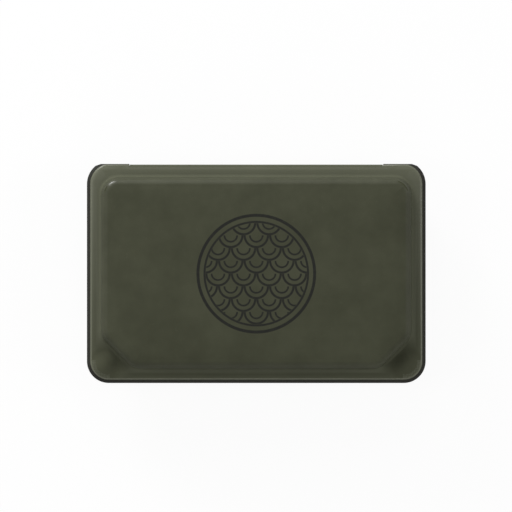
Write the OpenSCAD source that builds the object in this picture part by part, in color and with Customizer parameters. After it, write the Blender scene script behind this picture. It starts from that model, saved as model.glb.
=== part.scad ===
// Pocket fly box: two moulded foam half shells joined by a folding spine, held shut by
// corner magnets, with ridged and slit foam inside both halves to hold the flies.
// The frame: +X to the right, +Y to the hinge, +Z up through the lid, the case shut and
// lying on its base, with the origin at the middle of the base's underside.
// Each half is drawn with its height h counted from the closing plane, so the base is the
// same form as the lid, turned over.

/* [Case] */
// Width across the rims
case_w = 150; // [130:1:190]
// Depth from the front rim to the back corners
case_d = 97; // [85:1:125]
// Height of each half, from the closing plane to its flat crown
half_h = 18; // [15:0.5:24]
// Gap between the two rims when the case is shut
closing_gap = 0.3; // [0.2:0.05:0.5]

/* [Laminate] */
// Thickness of the coated outer skin
skin_t = 0.6; // [0.5:0.05:0.7]
// Thickness of the pressed foam core
core_t = 1.8; // [1.6:0.1:2.2]
// Thickness of the knitted lining
lining_t = 0.4; // [0.3:0.05:0.5]

/* [Rim] */
// Width of the rim at the front and sides, from its trimmed edge to the foot of the wall
rim_w = 5.2; // [4.4:0.1:6.4]
// Width of the rim at the back, from the spine to the foot of the wall
rim_back = 4.4; // [4:0.1:6]
// Radius of the two front corners
front_r = 9.7; // [8:0.1:12]
// Radius of the two back corners
back_r = 10.5; // [9:0.5:14]
// How much of the back corners' radius the hinge line cuts off
back_cut = 1.6; // [1:0.1:3]
// How far the trimmed edge of the core leans in
trim_lean = 1.5; // [0.8:0.1:1.8]
// How far it leans in behind the back corners
back_lean = 0.3; // [0.1:0.1:0.6]

/* [Wall] */
// Slope of the walls from upright, in degrees
draft = 9; // [6:0.5:13]
// Radius between the walls and the flat crown
shoulder_r = 3.2; // [3.1:0.1:3.6]
// Radius between the rim and the foot of the walls
foot_r = 0.8; // [0.6:0.1:1.6]
// Plan radius of the walls' corners at their foot
wall_r = 9; // [9:0.5:12]
// Length that the finger corners take off the walls on each side, between their rounds
finger_cut = 11.5; // [9:0.5:15]

/* [Magnets] */
// Diameter of the four closing magnets
magnet_d = 10; // [8:0.5:10.5]
// Thickness of each magnet
magnet_t = 2; // [1.2:0.1:2.1]
// Distance from a magnet's centre to the case's side and front
magnet_inset = 8.2; // [7.8:0.1:9]
// Depth of a magnet's face below the lining
magnet_sunk = 0.1; // [0:0.05:0.3]
// Gap round a magnet in its pocket
magnet_play = 0.1; // [0.05:0.05:0.2]
// Height of the swelling in the finger corner over a magnet
swell_h = 1.2; // [0.8:0.1:1.6]
// Radius of that swelling
swell_r = 5.5; // [5.3:0.1:5.7]

/* [Hinge] */
// Width of the folding spine
hinge_w = 112; // [90:1:120]
// Outer radius of the spine's two creases
fold_r = 1; // [0.9:0.05:1.2]
// How far the back corners stand out behind the spine
corner_proud = 0.3; // [0.1:0.05:0.4]
// Bevel that lets the back corners pass each other as the lid turns
corner_bevel = 1.2; // [1.1:0.05:1.4]
// Gap between the spine's ends and the back corners
hinge_side_gap = 0.3; // [0.2:0.05:0.6]
// Gap between a crease and the stiff strips on either side of it
crease_gap = 0.05; // [0.03:0.01:0.1]
// Width of the thinned groove between the foam core and a crease
groove_w = 1; // [0.8:0.1:1.6]

/* [Foam] */
// Thickness of the foam under its ridges
foam_t = 3; // [2:0.5:4]
// Height of the ridges
ridge_h = 3.5; // [2.5:0.5:4.5]
// Width of a ridge at its foot
ridge_foot = 5.6; // [5:0.2:6.4]
// Width of a ridge at its top
ridge_top = 3.6; // [3:0.2:4]
// Distance from ridge to ridge
ridge_pitch = 9.2; // [8:0.2:11]
// Radius of the ridges' top edges
ridge_r = 0.9; // [0.6:0.1:1.2]
// Distance from slit to slit
slit_pitch = 6; // [5:0.5:9]
// Width of a slit
slit_w = 0.5; // [0.3:0.1:0.8]
// Depth of a slit, from the top of a ridge
slit_depth = 3; // [1.5:0.5:3]
// Gap between the foam's edge and the lined walls
foam_gap = 0.3; // [0.2:0.1:0.8]

/* [Hidden] */
$fn = 72;

skin_colour = "#45473a";
core_colour = "#262622";
lining_colour = "#33342f";
foam_colour = "#b9b8ae";
magnet_colour = "#c9c9c6";

// Depths below the outer face at which one layer ends and the next begins
under_skin = skin_t;
under_core = skin_t + core_t;
laminate_t = skin_t + core_t + lining_t;

// Heights above the closing plane
rim_bottom = closing_gap / 2;
rim_top = rim_bottom + laminate_t;
core_top = rim_top - skin_t;
floor_h = half_h - laminate_t;

// Lines of the plan
side_x = case_w / 2;
front_y = -case_d / 2;
back_y = case_d / 2;
spine_y = back_y - corner_proud;
fold_y = spine_y - fold_r;
fold_h = rim_top - fold_r;
groove_y = fold_y - groove_w;
back_centre_y = back_y + back_cut - back_r;

// How far cutting forms run past what they cut
over = 1;
// Reach of the sheet's brim before it is trimmed
brim_s = 3 * wall_r + finger_cut;
// Fineness of the rounds: degrees a step round the walls, and steps of the other arcs
corner_step = 11.25;
rim_steps = 10;
foot_steps = 3;
shoulder_steps = 4;
ridge_steps = 2;

// Centres of the walls' corners in plan, anticlockwise from the front left
centre_x = side_x - rim_w - wall_r;
centre_front = front_y + rim_w + wall_r;
centre_back = spine_y - rim_back - wall_r;
centres = [
    [-centre_x + finger_cut, centre_front],
    [centre_x - finger_cut, centre_front],
    [centre_x, centre_front + finger_cut],
    [centre_x, centre_back],
    [-centre_x, centre_back],
    [-centre_x, centre_front + finger_cut],
];

// The wall's line in a section is s * cos(draft) + h * sin(draft) = wall_line at the outer face
wall_line = wall_r * cos(draft) + rim_top * sin(draft);
shoulder_h = half_h - shoulder_r;
shoulder_s = (wall_line - shoulder_r - shoulder_h * sin(draft)) / cos(draft);
foot_h = rim_top + foot_r;
foot_s = (wall_line + foot_r - foot_h * sin(draft)) / cos(draft);

function heading(a, b) = atan2(b[1] - a[1], b[0] - a[0]);
function at(list, i) = list[(i + len(list)) % len(list)];

// Distance from the corner centres to the wall's face at height h, k below the outer face
function wall_s(h, k) = (wall_line - k - h * sin(draft)) / cos(draft);

// ---- Forms of a half shell -------------------------------------------------------------

// Points of an arc about a centre, from one direction to another
function arc(centre, r, from, to, steps) = [
    for (i = [0:steps]) let (a = from + (to - from) * i / steps) centre + r * [cos(a), sin(a)]
];

// Directions of the sides that meet at each corner, as the headings of their outward sides
function side_facing(i) = heading(at(centres, i), at(centres, i + 1)) - 90;
function turn(i) = (side_facing(i) - side_facing(i - 1) + 720) % 360;

// The walls' plan at reach s from the corner centres, with its corners rounded
function plan(s) = [
    for (i = [0:len(centres) - 1])
        each arc(centres[i], s, side_facing(i) - turn(i), side_facing(i), turn(i) / corner_step)
];

// Section of a half, k below the outer face, from the brim to the edge of the crown: the
// reach s and the height h along the round at the wall's foot, the wall and the shoulder
function section(k) = concat(
    [[brim_s, rim_top - k]],
    arc([foot_s, foot_h], foot_r + k, 270, 180 + draft, foot_steps),
    arc([shoulder_s, shoulder_h], shoulder_r - k, draft, 90, shoulder_steps)
);

function backwards(list) = [for (i = [len(list) - 1:-1:0]) list[i]];

// Skins a closed body over rings of equal numbers of points, closed flat at both ends. Each
// ring runs anticlockwise seen from above, and the first ones lie above the next
module loft(rings) {
    n = len(rings[0]);
    last = len(rings) - 1;
    points = [for (ring = rings) each ring];
    around = [
        for (r = [0:last - 1], i = [0:n - 1])
            let (j = (i + 1) % n) [r * n + i, r * n + j, (r + 1) * n + j, (r + 1) * n + i]
    ];
    start = [for (i = [0:n - 1]) n - 1 - i];
    end = [for (i = [0:n - 1]) last * n + i];
    polyhedron(points, concat([start], around, [end]));
}

// A layer of the pressed sheet from depth k0 to depth k1, with its crown, walls and brim
module pressed(k0, k1) {
    path = concat(backwards(section(k0)), section(k1));
    loft([for (sh = path) [for (p = plan(sh[0])) [p[0], p[1], sh[1]]]]);
}

// The rim's outline in plan, inset by d
function outline(d) = concat(
    arc([front_r - side_x, front_y + front_r], front_r - d, 180, 270, rim_steps),
    arc([side_x - front_r, front_y + front_r], front_r - d, 270, 360, rim_steps),
    arc([side_x - back_r, back_centre_y], back_r - d, 0, 90, rim_steps),
    arc([back_r - side_x, back_centre_y], back_r - d, 90, 180, rim_steps)
);

// All that the trimmed edge leaves of the sheet that a half is pressed from: its sides show
// the upright lining, the leaning core and the bevelled skin, and its back ends at the hinge
module trimmed_outline() {
    skin_edge = trim_lean + skin_t;
    intersection() {
        loft([
            for (dh = [
                [skin_edge, half_h + over], [skin_edge, rim_top + skin_t / 3],
                [trim_lean + skin_t / 4, rim_top - skin_t / 3], [trim_lean, core_top],
                [0, rim_bottom + lining_t], [0, -over],
            ])
                [for (p = outline(dh[0])) [p[0], p[1], dh[1]]]
        ]);
        translate([-case_w, 0, 0]) rotate([90, 0, 90]) linear_extrude(2 * case_w) polygon([
            [-case_d, rim_bottom - 2 * over],
            [back_y - corner_bevel - 2 * over, rim_bottom - 2 * over],
            [back_y, rim_bottom + corner_bevel], [back_y - back_lean, core_top],
            [back_y - back_lean - skin_t, rim_top + skin_t / 3],
            [back_y - back_lean - skin_t, half_h + 2 * over], [-case_d, half_h + 2 * over],
        ]);
    }
}

// The swelling over each magnet, k below the outer face
module swellings(k) {
    ball_r = (pow(swell_r, 2) + pow(swell_h, 2)) / (2 * swell_h);
    at_magnets() intersection() {
        translate([0, 0, rim_top + swell_h - ball_r]) sphere(ball_r - k);
        translate([0, 0, rim_top - k - skin_t / 2]) cylinder(r = 2 * swell_r, h = half_h);
    }
}

module at_magnets() {
    for (side = [-1, 1])
        translate([side * (side_x - magnet_inset), front_y + magnet_inset, 0]) children();
}

// Room for the spine between the back corners, from y back
module hinge_notch(y) {
    width = hinge_w + 2 * hinge_side_gap;
    translate([-width / 2, y, -over]) cube([width, case_d, half_h]);
}

module magnet_holes() {
    at_magnets() translate([0, 0, -over])
        cylinder(d = magnet_d + 2 * magnet_play, h = over + rim_bottom + magnet_sunk + magnet_t);
}

// ---- Pieces of a half, drawn from the closing plane up ---------------------------------

module skin() {
    color(skin_colour) difference() {
        union() {
            intersection() {
                pressed(0, under_skin);
                trimmed_outline();
            }
            swellings(0);
        }
        swellings(under_skin);
        hinge_notch(fold_y - crease_gap);
    }
}

module core() {
    color(core_colour) difference() {
        union() {
            intersection() {
                pressed(under_skin, under_core);
                trimmed_outline();
            }
            swellings(under_skin);
        }
        hinge_notch(groove_y);
        magnet_holes();
    }
}

module lining() {
    color(lining_colour) difference() {
        intersection() {
            pressed(under_core, laminate_t);
            trimmed_outline();
        }
        hinge_notch(groove_y);
        magnet_holes();
    }
}

module magnet(side) {
    color(magnet_colour)
        translate([side * (side_x - magnet_inset), front_y + magnet_inset, rim_bottom + magnet_sunk])
        cylinder(d = magnet_d, h = magnet_t);
}

// Reach of the foam from the corner centres, clear of the lined wall and its round shoulder
foam_reach = wall_s(floor_h, laminate_t) - (shoulder_r - laminate_t) - foam_gap;
foam_top = floor_h - foam_t;
ridge_tip = foam_top - ridge_h;

// Section of a ridge, counted down from the face of the foam under it
module ridge_section() {
    side = ridge_top / 2 - ridge_r;
    tip = ridge_r - ridge_h;
    polygon(concat(
        [[-ridge_foot / 2, over], [-ridge_foot / 2, 0]],
        arc([-side, tip], ridge_r, 180, 270, ridge_steps),
        arc([side, tip], ridge_r, 270, 360, ridge_steps),
        [[ridge_foot / 2, 0], [ridge_foot / 2, over]]
    ));
}

module foam() {
    ridges_depth = centre_back - centre_front + 2 * foam_reach;
    ridges = floor((ridges_depth - ridge_foot) / ridge_pitch) + 1;
    slits = floor(2 * centre_x / slit_pitch);
    middle = (centre_front + centre_back) / 2;
    color(foam_colour) difference() {
        union() {
            translate([0, 0, foam_top]) linear_extrude(foam_t) polygon(plan(foam_reach));
            intersection() {
                linear_extrude(floor_h - over) polygon(plan(foam_reach));
                for (i = [0:ridges - 1])
                    translate([-case_w, middle + (i - (ridges - 1) / 2) * ridge_pitch, foam_top])
                        rotate([90, 0, 90]) linear_extrude(2 * case_w) ridge_section();
            }
        }
        for (i = [0:slits])
            translate([(i - slits / 2) * slit_pitch - slit_w / 2, -case_d, ridge_tip - over])
                cube([slit_w, 2 * case_d, over + slit_depth]);
    }
}

// Quarter round of skin between a half's rim and the spine
module crease() {
    color(skin_colour) translate([-hinge_w / 2, fold_y, fold_h]) rotate([90, 0, 90])
        linear_extrude(hinge_w) difference() {
            intersection() {
                circle(fold_r);
                square(fold_r);
            }
            circle(fold_r - skin_t);
        }
}

// ---- Placing the halves and the spine --------------------------------------------------

module lid_side() { translate([0, 0, half_h]) children(); }
module base_side() { translate([0, 0, half_h]) mirror([0, 0, 1]) children(); }

module base_skin() { base_side() skin(); }
module base_core() { base_side() core(); }
module base_lining() { base_side() lining(); }
module base_foam() { base_side() foam(); }
module base_magnet_left() { base_side() magnet(-1); }
module base_magnet_right() { base_side() magnet(1); }
module base_crease() { base_side() crease(); }

module lid_skin() { lid_side() skin(); }
module lid_core() { lid_side() core(); }
module lid_lining() { lid_side() lining(); }
module lid_foam() { lid_side() foam(); }
module lid_magnet_left() { lid_side() magnet(-1); }
module lid_magnet_right() { lid_side() magnet(1); }
module lid_crease() { lid_side() crease(); }

module spine_skin() {
    color(skin_colour)
        translate([-hinge_w / 2, spine_y - skin_t, half_h - fold_h + crease_gap])
        cube([hinge_w, skin_t, 2 * (fold_h - crease_gap)]);
}

module spine_lining() {
    color(lining_colour)
        translate([-hinge_w / 2, spine_y - skin_t - lining_t, half_h - fold_h + crease_gap])
        cube([hinge_w, lining_t, 2 * (fold_h - crease_gap)]);
}

base_skin();
base_core();
base_lining();
base_foam();
base_magnet_left();
base_magnet_right();
lid_skin();
lid_core();
lid_lining();
lid_foam();
lid_magnet_left();
lid_magnet_right();
spine_skin();
spine_lining();
base_crease();
lid_crease();
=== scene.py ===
"""Looks of a pocket fly box: two pressed foam shells on a folding spine.

Every piece is made in millimetres in the frame of its half, with heights counted from the
closing plane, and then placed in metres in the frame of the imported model.
"""

import logging
import math
from collections.abc import Iterable, Mapping, Sequence
from dataclasses import dataclass
from enum import Enum
from typing import Any

import bmesh
import bpy
from bmesh.types import BMEdge, BMesh, BMFace, BMVert
from bpy.types import Material, Node, NodeSocket, NodeTree
from mathutils import Matrix, Vector
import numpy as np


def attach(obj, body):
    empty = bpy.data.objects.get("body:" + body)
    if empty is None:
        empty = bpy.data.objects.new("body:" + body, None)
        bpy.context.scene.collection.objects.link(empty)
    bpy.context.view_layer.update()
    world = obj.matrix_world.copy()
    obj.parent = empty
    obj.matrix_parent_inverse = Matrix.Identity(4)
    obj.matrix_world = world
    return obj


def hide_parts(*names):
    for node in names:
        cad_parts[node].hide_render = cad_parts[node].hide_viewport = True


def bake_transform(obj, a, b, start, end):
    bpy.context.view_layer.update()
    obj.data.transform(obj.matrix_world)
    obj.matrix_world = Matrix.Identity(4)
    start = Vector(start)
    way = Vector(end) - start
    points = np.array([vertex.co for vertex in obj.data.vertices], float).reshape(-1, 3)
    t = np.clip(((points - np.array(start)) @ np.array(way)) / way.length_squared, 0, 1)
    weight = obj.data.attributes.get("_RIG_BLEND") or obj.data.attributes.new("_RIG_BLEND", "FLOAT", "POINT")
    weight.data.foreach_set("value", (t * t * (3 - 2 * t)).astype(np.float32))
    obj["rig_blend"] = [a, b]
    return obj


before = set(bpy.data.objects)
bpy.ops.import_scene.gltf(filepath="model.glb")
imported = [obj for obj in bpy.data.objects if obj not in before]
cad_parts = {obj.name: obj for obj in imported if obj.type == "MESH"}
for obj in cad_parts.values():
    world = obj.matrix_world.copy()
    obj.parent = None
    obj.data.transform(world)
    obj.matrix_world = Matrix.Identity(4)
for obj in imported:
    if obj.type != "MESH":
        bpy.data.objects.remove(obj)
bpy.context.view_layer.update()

LOG = logging.getLogger("fly_box")
MM = 0.001
SHARP = math.radians(38.0)
TINY = 1e-5
MERGE = 1e-4
WHITE = (1.0, 1.0, 1.0, 1.0)


class Half(Enum):
    """The two halves of the case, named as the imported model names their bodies."""

    BASE = "base"
    LID = "lid"

    @property
    def placing(self) -> Matrix:
        """The matrix from the half's own frame in millimetres to the row frame in metres."""
        up = 1.0 if self is Half.LID else -1.0
        lift = Matrix.Translation((0.0, 0.0, SIZES.half_h * MM))
        return lift @ Matrix.Diagonal((MM, MM, up * MM, 1.0))


class Side(Enum):
    """Left and right along the case's width."""

    LEFT = -1
    RIGHT = 1


@dataclass(frozen=True)
class CaseSizes:
    """Sizes shared by the pieces, in millimetres and degrees.

    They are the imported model's, except that the wall stands steeper, a little further in and
    on a rounder foot: wall_in, draft, shoulder_r, foot_r and finger_cut.
    """

    width: float = 150.0
    depth: float = 97.0
    half_h: float = 18.0
    rim_bottom: float = 0.15
    skin_t: float = 0.6
    core_t: float = 1.8
    lining_t: float = 0.4
    front_r: float = 9.7
    back_r: float = 10.5
    back_cut: float = 1.6
    trim_lean: float = 1.5
    rim_w: float = 5.2
    rim_back: float = 4.4
    wall_r: float = 9.0
    wall_in: float = 1.3
    draft: float = 3.0
    shoulder_r: float = 3.3
    foot_r: float = 1.6
    finger_cut: float = 9.7
    spine_back: float = 48.2
    hinge_w: float = 112.0
    hinge_gap: float = 0.3
    fold_r: float = 1.0
    fold_y: float = 47.2
    crease_gap: float = 0.05
    groove_y: float = 46.2
    magnet_inset: float = 8.2
    magnet_r: float = 5.0
    magnet_t: float = 2.0
    magnet_play: float = 0.1
    magnet_sunk: float = 0.1
    roll_depth: float = 0.45
    roll_from: float = 5.0
    roll_to: float = 2.0
    roll_back: float = 49.35

    @property
    def laminate_t(self) -> float:
        """Thickness of skin, core and lining together."""
        return self.skin_t + self.core_t + self.lining_t

    @property
    def rim_top(self) -> float:
        """Height of the rim's outer face above the closing plane."""
        return self.rim_bottom + self.laminate_t

    @property
    def fold_h(self) -> float:
        """Height of the crease's axis above the closing plane."""
        return self.rim_top - self.fold_r

    @property
    def wall_line(self) -> float:
        """Where the outer wall's line lies, along its normal."""
        draft = math.radians(self.draft)
        return (self.wall_r - self.wall_in) * math.cos(draft) + self.rim_top * math.sin(draft)

    def reach_at(self, line: float, height: float) -> float:
        """Reach, at a height, of a line that runs beside the wall."""
        draft = math.radians(self.draft)
        return (line - height * math.sin(draft)) / math.cos(draft)

    @property
    def shoulder(self) -> Vector:
        """Centre of the shoulder's round, as reach and height."""
        height = self.half_h - self.shoulder_r
        return Vector((self.reach_at(self.wall_line - self.shoulder_r, height), height))

    @property
    def foot(self) -> Vector:
        """Centre of the round at the wall's foot, as reach and height."""
        height = self.rim_top + self.foot_r
        return Vector((self.reach_at(self.wall_line + self.foot_r, height), height))

    def magnet_at(self, side: Side) -> Vector:
        """Centre in plan of the magnet on a side."""
        x, y = self.width / 2 - self.magnet_inset, -self.depth / 2 + self.magnet_inset
        return Vector((side.value * x, y))

    def from_magnet(self, point: Vector) -> float:
        """Distance in plan from a point to the nearer magnet's centre."""
        return (Vector((abs(point.x), point.y)) - self.magnet_at(Side.RIGHT)).length

    def roll(self, x: float, y: float) -> float:
        """How far the rim's outer face rolls down towards its trimmed edge.

        Args:
            x: Place along the width.
            y: Place along the depth.

        Returns:
            The drop, which is the same at the hinge as behind the corners.
        """
        inset = min(self.width / 2 - abs(x), y + self.depth / 2, self.roll_back - y)
        front_y = self.front_r - self.depth / 2
        back_y = self.depth / 2 + self.back_cut - self.back_r
        for radius, centre_y, outward in ((self.front_r, front_y, -1), (self.back_r, back_y, 1)):
            away = Vector((abs(x) - self.width / 2 + radius, y - centre_y))
            if away.x > 0 and away.y * outward > 0:
                inset = min(inset, radius - away.length)
        share = (self.roll_from - max(inset, self.roll_to)) / (self.roll_from - self.roll_to)
        return self.roll_depth * max(0.0, share) ** 2


SIZES = CaseSizes()


@dataclass(frozen=True)
class Corner:
    """One corner of a loop: its round's centre and radius, and where it starts and turns."""

    x: float
    y: float
    radius: float = 0.0
    start: float = 0.0
    turn: float = 0.0
    steps: int = 0


@dataclass(frozen=True)
class Ring:
    """A closed loop of vertices and its edges."""

    verts: list[BMVert]
    edges: list[BMEdge]


# ---- Mesh work shared by the pieces --------------------------------------------------------


def spun_corner(bm: BMesh, corner: Corner, height: float) -> list[BMVert]:
    """Spins one vertex about a corner's centre.

    Args:
        bm: The mesh that gets the vertices.
        corner: The corner to round.
        height: Height of the vertices above the closing plane.

    Returns:
        The round's vertices, from its start to its end.
    """
    start = math.radians(corner.start)
    x, y = corner.x + corner.radius * math.cos(start), corner.y + corner.radius * math.sin(start)
    chain = [bm.verts.new((x, y, height))]
    if not corner.steps:
        return chain
    bmesh.ops.spin(
        bm, geom=chain[:], cent=(corner.x, corner.y, height), axis=(0, 0, 1), dvec=(0, 0, 0),
        angle=math.radians(corner.turn), steps=corner.steps, use_merge=False, use_duplicate=False,
    )
    while True:
        onward = [e.other_vert(chain[-1]) for e in chain[-1].link_edges]
        onward = [v for v in onward if v not in chain[-2:]]
        if not onward:
            return chain
        chain.append(onward[0])


def closed_ring(bm: BMesh, corners: Sequence[Corner], height: float) -> Ring:
    """Joins rounded corners into one closed loop.

    Args:
        bm: The mesh that gets the loop.
        corners: The corners, anticlockwise seen from above.
        height: Height of the loop above the closing plane.

    Returns:
        The loop.
    """
    verts = [v for corner in corners for v in spun_corner(bm, corner, height)]
    pairs = zip(verts, verts[1:] + verts[:1])
    return Ring(verts, [bm.edges.get(pair) or bm.edges.new(pair) for pair in pairs])


def disc_ring(bm: BMesh, centre: Vector, radius: float, height: float, steps: int = 40) -> Ring:
    """Makes a round loop.

    Args:
        bm: The mesh that gets the loop.
        centre: Its centre in plan.
        radius: Its radius.
        height: Its height above the closing plane.
        steps: Number of its edges.

    Returns:
        The loop.
    """
    place = Matrix.Translation((centre.x, centre.y, height))
    made = bmesh.ops.create_circle(bm, cap_ends=False, radius=radius, segments=steps, matrix=place)
    verts = list(made["verts"])
    return Ring(verts, list({e for v in verts for e in v.link_edges}))


def bridge(bm: BMesh, first: Ring, second: Ring) -> None:
    """Joins two loops with a band of faces."""
    bmesh.ops.bridge_loops(bm, edges=first.edges + second.edges)


def cap(bm: BMesh, ring: Ring) -> BMFace:
    """Closes a loop with one face that looks up, and returns it."""
    face = bmesh.ops.contextual_create(bm, geom=ring.edges)["faces"][0]
    face.normal_update()
    if face.normal.z < 0:
        face.normal_flip()
    return face


def extrude(bm: BMesh, faces: list[BMFace], move: Sequence[float]) -> None:
    """Extrudes faces into a closed form, whose far end moves."""
    raised = bmesh.ops.extrude_face_region(bm, geom=faces, use_keep_orig=True)["geom"]
    bmesh.ops.translate(bm, vec=move, verts=[v for v in raised if isinstance(v, BMVert)])


def round_edges(bm: BMesh, edges: list[BMEdge], radius: float, segments: int) -> None:
    """Rounds edges with a bevel."""
    bmesh.ops.bevel(
        bm, geom=edges, offset=radius, offset_type="OFFSET", segments=segments,
        profile=0.5, affect="EDGES", material=-1,
    )


def bisect(
    bm: BMesh, faces: Iterable[BMFace], point: Sequence[float], normal: Sequence[float],
    clear: bool = False,
) -> dict:
    """Cuts faces with a plane.

    Args:
        bm: The mesh.
        faces: The faces to cut.
        point: A point of the plane.
        normal: The plane's normal.
        clear: Whether what lies on the normal's side is removed.

    Returns:
        What the operator gives back.
    """
    faces = list(faces)
    geom = list({v for f in faces for v in f.verts}) + list({e for f in faces for e in f.edges}) + faces
    return bmesh.ops.bisect_plane(
        bm, geom=geom, dist=TINY, plane_co=point, plane_no=normal, clear_outer=clear,
    )


def cut_off(
    bm: BMesh, faces: Iterable[BMFace], point: Sequence[float], normal: Sequence[float],
) -> None:
    """Cuts a closed form with a plane, removes the normal's side and closes the cut."""
    cut = bisect(bm, faces, point, normal, clear=True)["geom_cut"]
    edges = [e for e in cut if isinstance(e, BMEdge) and e.is_valid and len(e.link_faces) == 1]
    if len(edges) > 2:
        bmesh.ops.contextual_create(bm, geom=edges)


def steps_between(low: float, high: float, pitch: float) -> list[float]:
    """Even places between two limits, a pitch or a little less apart, without the limits."""
    count = max(1, math.ceil((high - low) / pitch))
    return [low + (high - low) * i / count for i in range(1, count)]


def blend_stops(stops: Sequence[tuple[float, float]], value: float) -> float:
    """The height, at a value, of a line through stops of value and height, or 0 past its end."""
    for (near, first), (far, last) in zip(stops, stops[1:]):
        if value < far:
            return first + (last - first) * max(0.0, value - near) / (far - near)
    return 0.0


def whole(vert: BMVert) -> list[BMFace]:
    """The faces of the closed form that a vertex belongs to."""
    seen, todo = {vert}, [vert]
    while todo:
        for edge in todo.pop().link_edges:
            for v in edge.verts:
                if v not in seen:
                    seen.add(v)
                    todo.append(v)
    return list({f for v in seen for f in v.link_faces})


@dataclass(frozen=True)
class Piece:
    """What a finished mesh is called, what it rides on and what it stands for."""

    name: str
    body: str
    slot: str
    material: Material
    replaces: tuple[str, ...] = ()
    bends_to: str = ""
    bend: tuple[Vector, Vector] | None = None
    padded: float | None = None

    def place(self, bm: BMesh, placing: Matrix) -> None:
        """Makes the object from a mesh in the half's frame.

        Args:
            bm: The mesh, in millimetres, which this method uses up.
            placing: The matrix from the half's frame to the row frame.
        """
        bmesh.ops.remove_doubles(bm, verts=bm.verts, dist=MERGE)
        bmesh.ops.transform(bm, matrix=placing, verts=bm.verts)
        bmesh.ops.recalc_face_normals(bm, faces=bm.faces)
        for face in bm.faces:
            face.smooth = True
        mesh = bpy.data.meshes.new(self.name)
        bm.to_mesh(mesh)
        bm.free()
        mesh.set_sharp_from_angle(angle=SHARP)
        mesh.materials.append(self.material)
        made = bpy.data.objects.new(self.name, mesh)
        bpy.context.scene.collection.objects.link(made)
        if self.bend is None:
            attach(made, self.body)
        else:
            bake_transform(made, self.body, self.bends_to, start=self.bend[0], end=self.bend[1])
        if self.replaces:
            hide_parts(*self.replaces)
        LOG.info("%s: %d faces, rides on %s", self.name, len(mesh.polygons), self.body)


# ---- Materials -----------------------------------------------------------------------------


def srgb(colour: str) -> tuple[float, float, float, float]:
    """Turns a hex colour into linear red, green, blue and alpha.

    Args:
        colour: The colour as "#rrggbb" in sRGB.

    Returns:
        The linear colour.
    """
    parts = [int(colour[i:i + 2], 16) / 255 for i in (1, 3, 5)]
    linear = [c / 12.92 if c <= 0.04045 else ((c + 0.055) / 1.055) ** 2.4 for c in parts]
    return (*linear, 1.0)


def feed(node: Node, inputs: Mapping[Any, Any]) -> None:
    """Gives a node's inputs, by name or number, their values or the sockets they read."""
    for name, value in inputs.items():
        if isinstance(value, NodeSocket):
            node.id_data.links.new(value, node.inputs[name])
        else:
            node.inputs[name].default_value = value


def add(tree: NodeTree, kind: str, inputs: Mapping[Any, Any] | None = None, **settings: Any) -> Node:
    """Adds a node to a tree.

    Args:
        tree: The tree.
        kind: The node's type, without the words that every shader node's type starts with.
        inputs: Values or sockets for its inputs, by name or number.
        settings: Values for its own settings.

    Returns:
        The node.
    """
    made = tree.nodes.new("ShaderNode" + kind)
    for name, value in settings.items():
        setattr(made, name, value)
    feed(made, inputs or {})
    return made


@dataclass(frozen=True)
class Finish:
    """A finish of the case, with the one shader and the one relief that all of them use."""

    name: str
    colour: str
    roughness: float
    relief: float = 0.5
    relief_mm: float = 0.08

    def build(self) -> Material:
        """Makes the material."""
        material = bpy.data.materials.new(self.name)
        material.use_nodes = True
        tree = material.node_tree
        shader = tree.nodes["Principled BSDF"]
        feed(shader, {"Base Color": srgb(self.colour), "Roughness": self.roughness})
        place = add(tree, "TexCoord").outputs["Object"]
        scaled = add(tree, "Mapping", {"Vector": place, "Scale": (1 / MM, 1 / MM, 1 / MM)})
        drawn = self.draw(tree, scaled.outputs[0])
        relief = {"Strength": self.relief, "Distance": self.relief_mm * MM}
        bump = add(tree, "Bump", {"Height": drawn.pop("Height"), **relief})
        feed(shader, {**drawn, "Normal": bump.outputs[0]})
        return material

    def draw(self, tree: NodeTree, place: NodeSocket) -> dict[str, Any]:
        """Draws the finish.

        Args:
            tree: The material's tree.
            place: The place on the piece in millimetres.

        Returns:
            The relief's height, under "Height", and what the shader's inputs get, by name.
        """
        raise NotImplementedError


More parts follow.
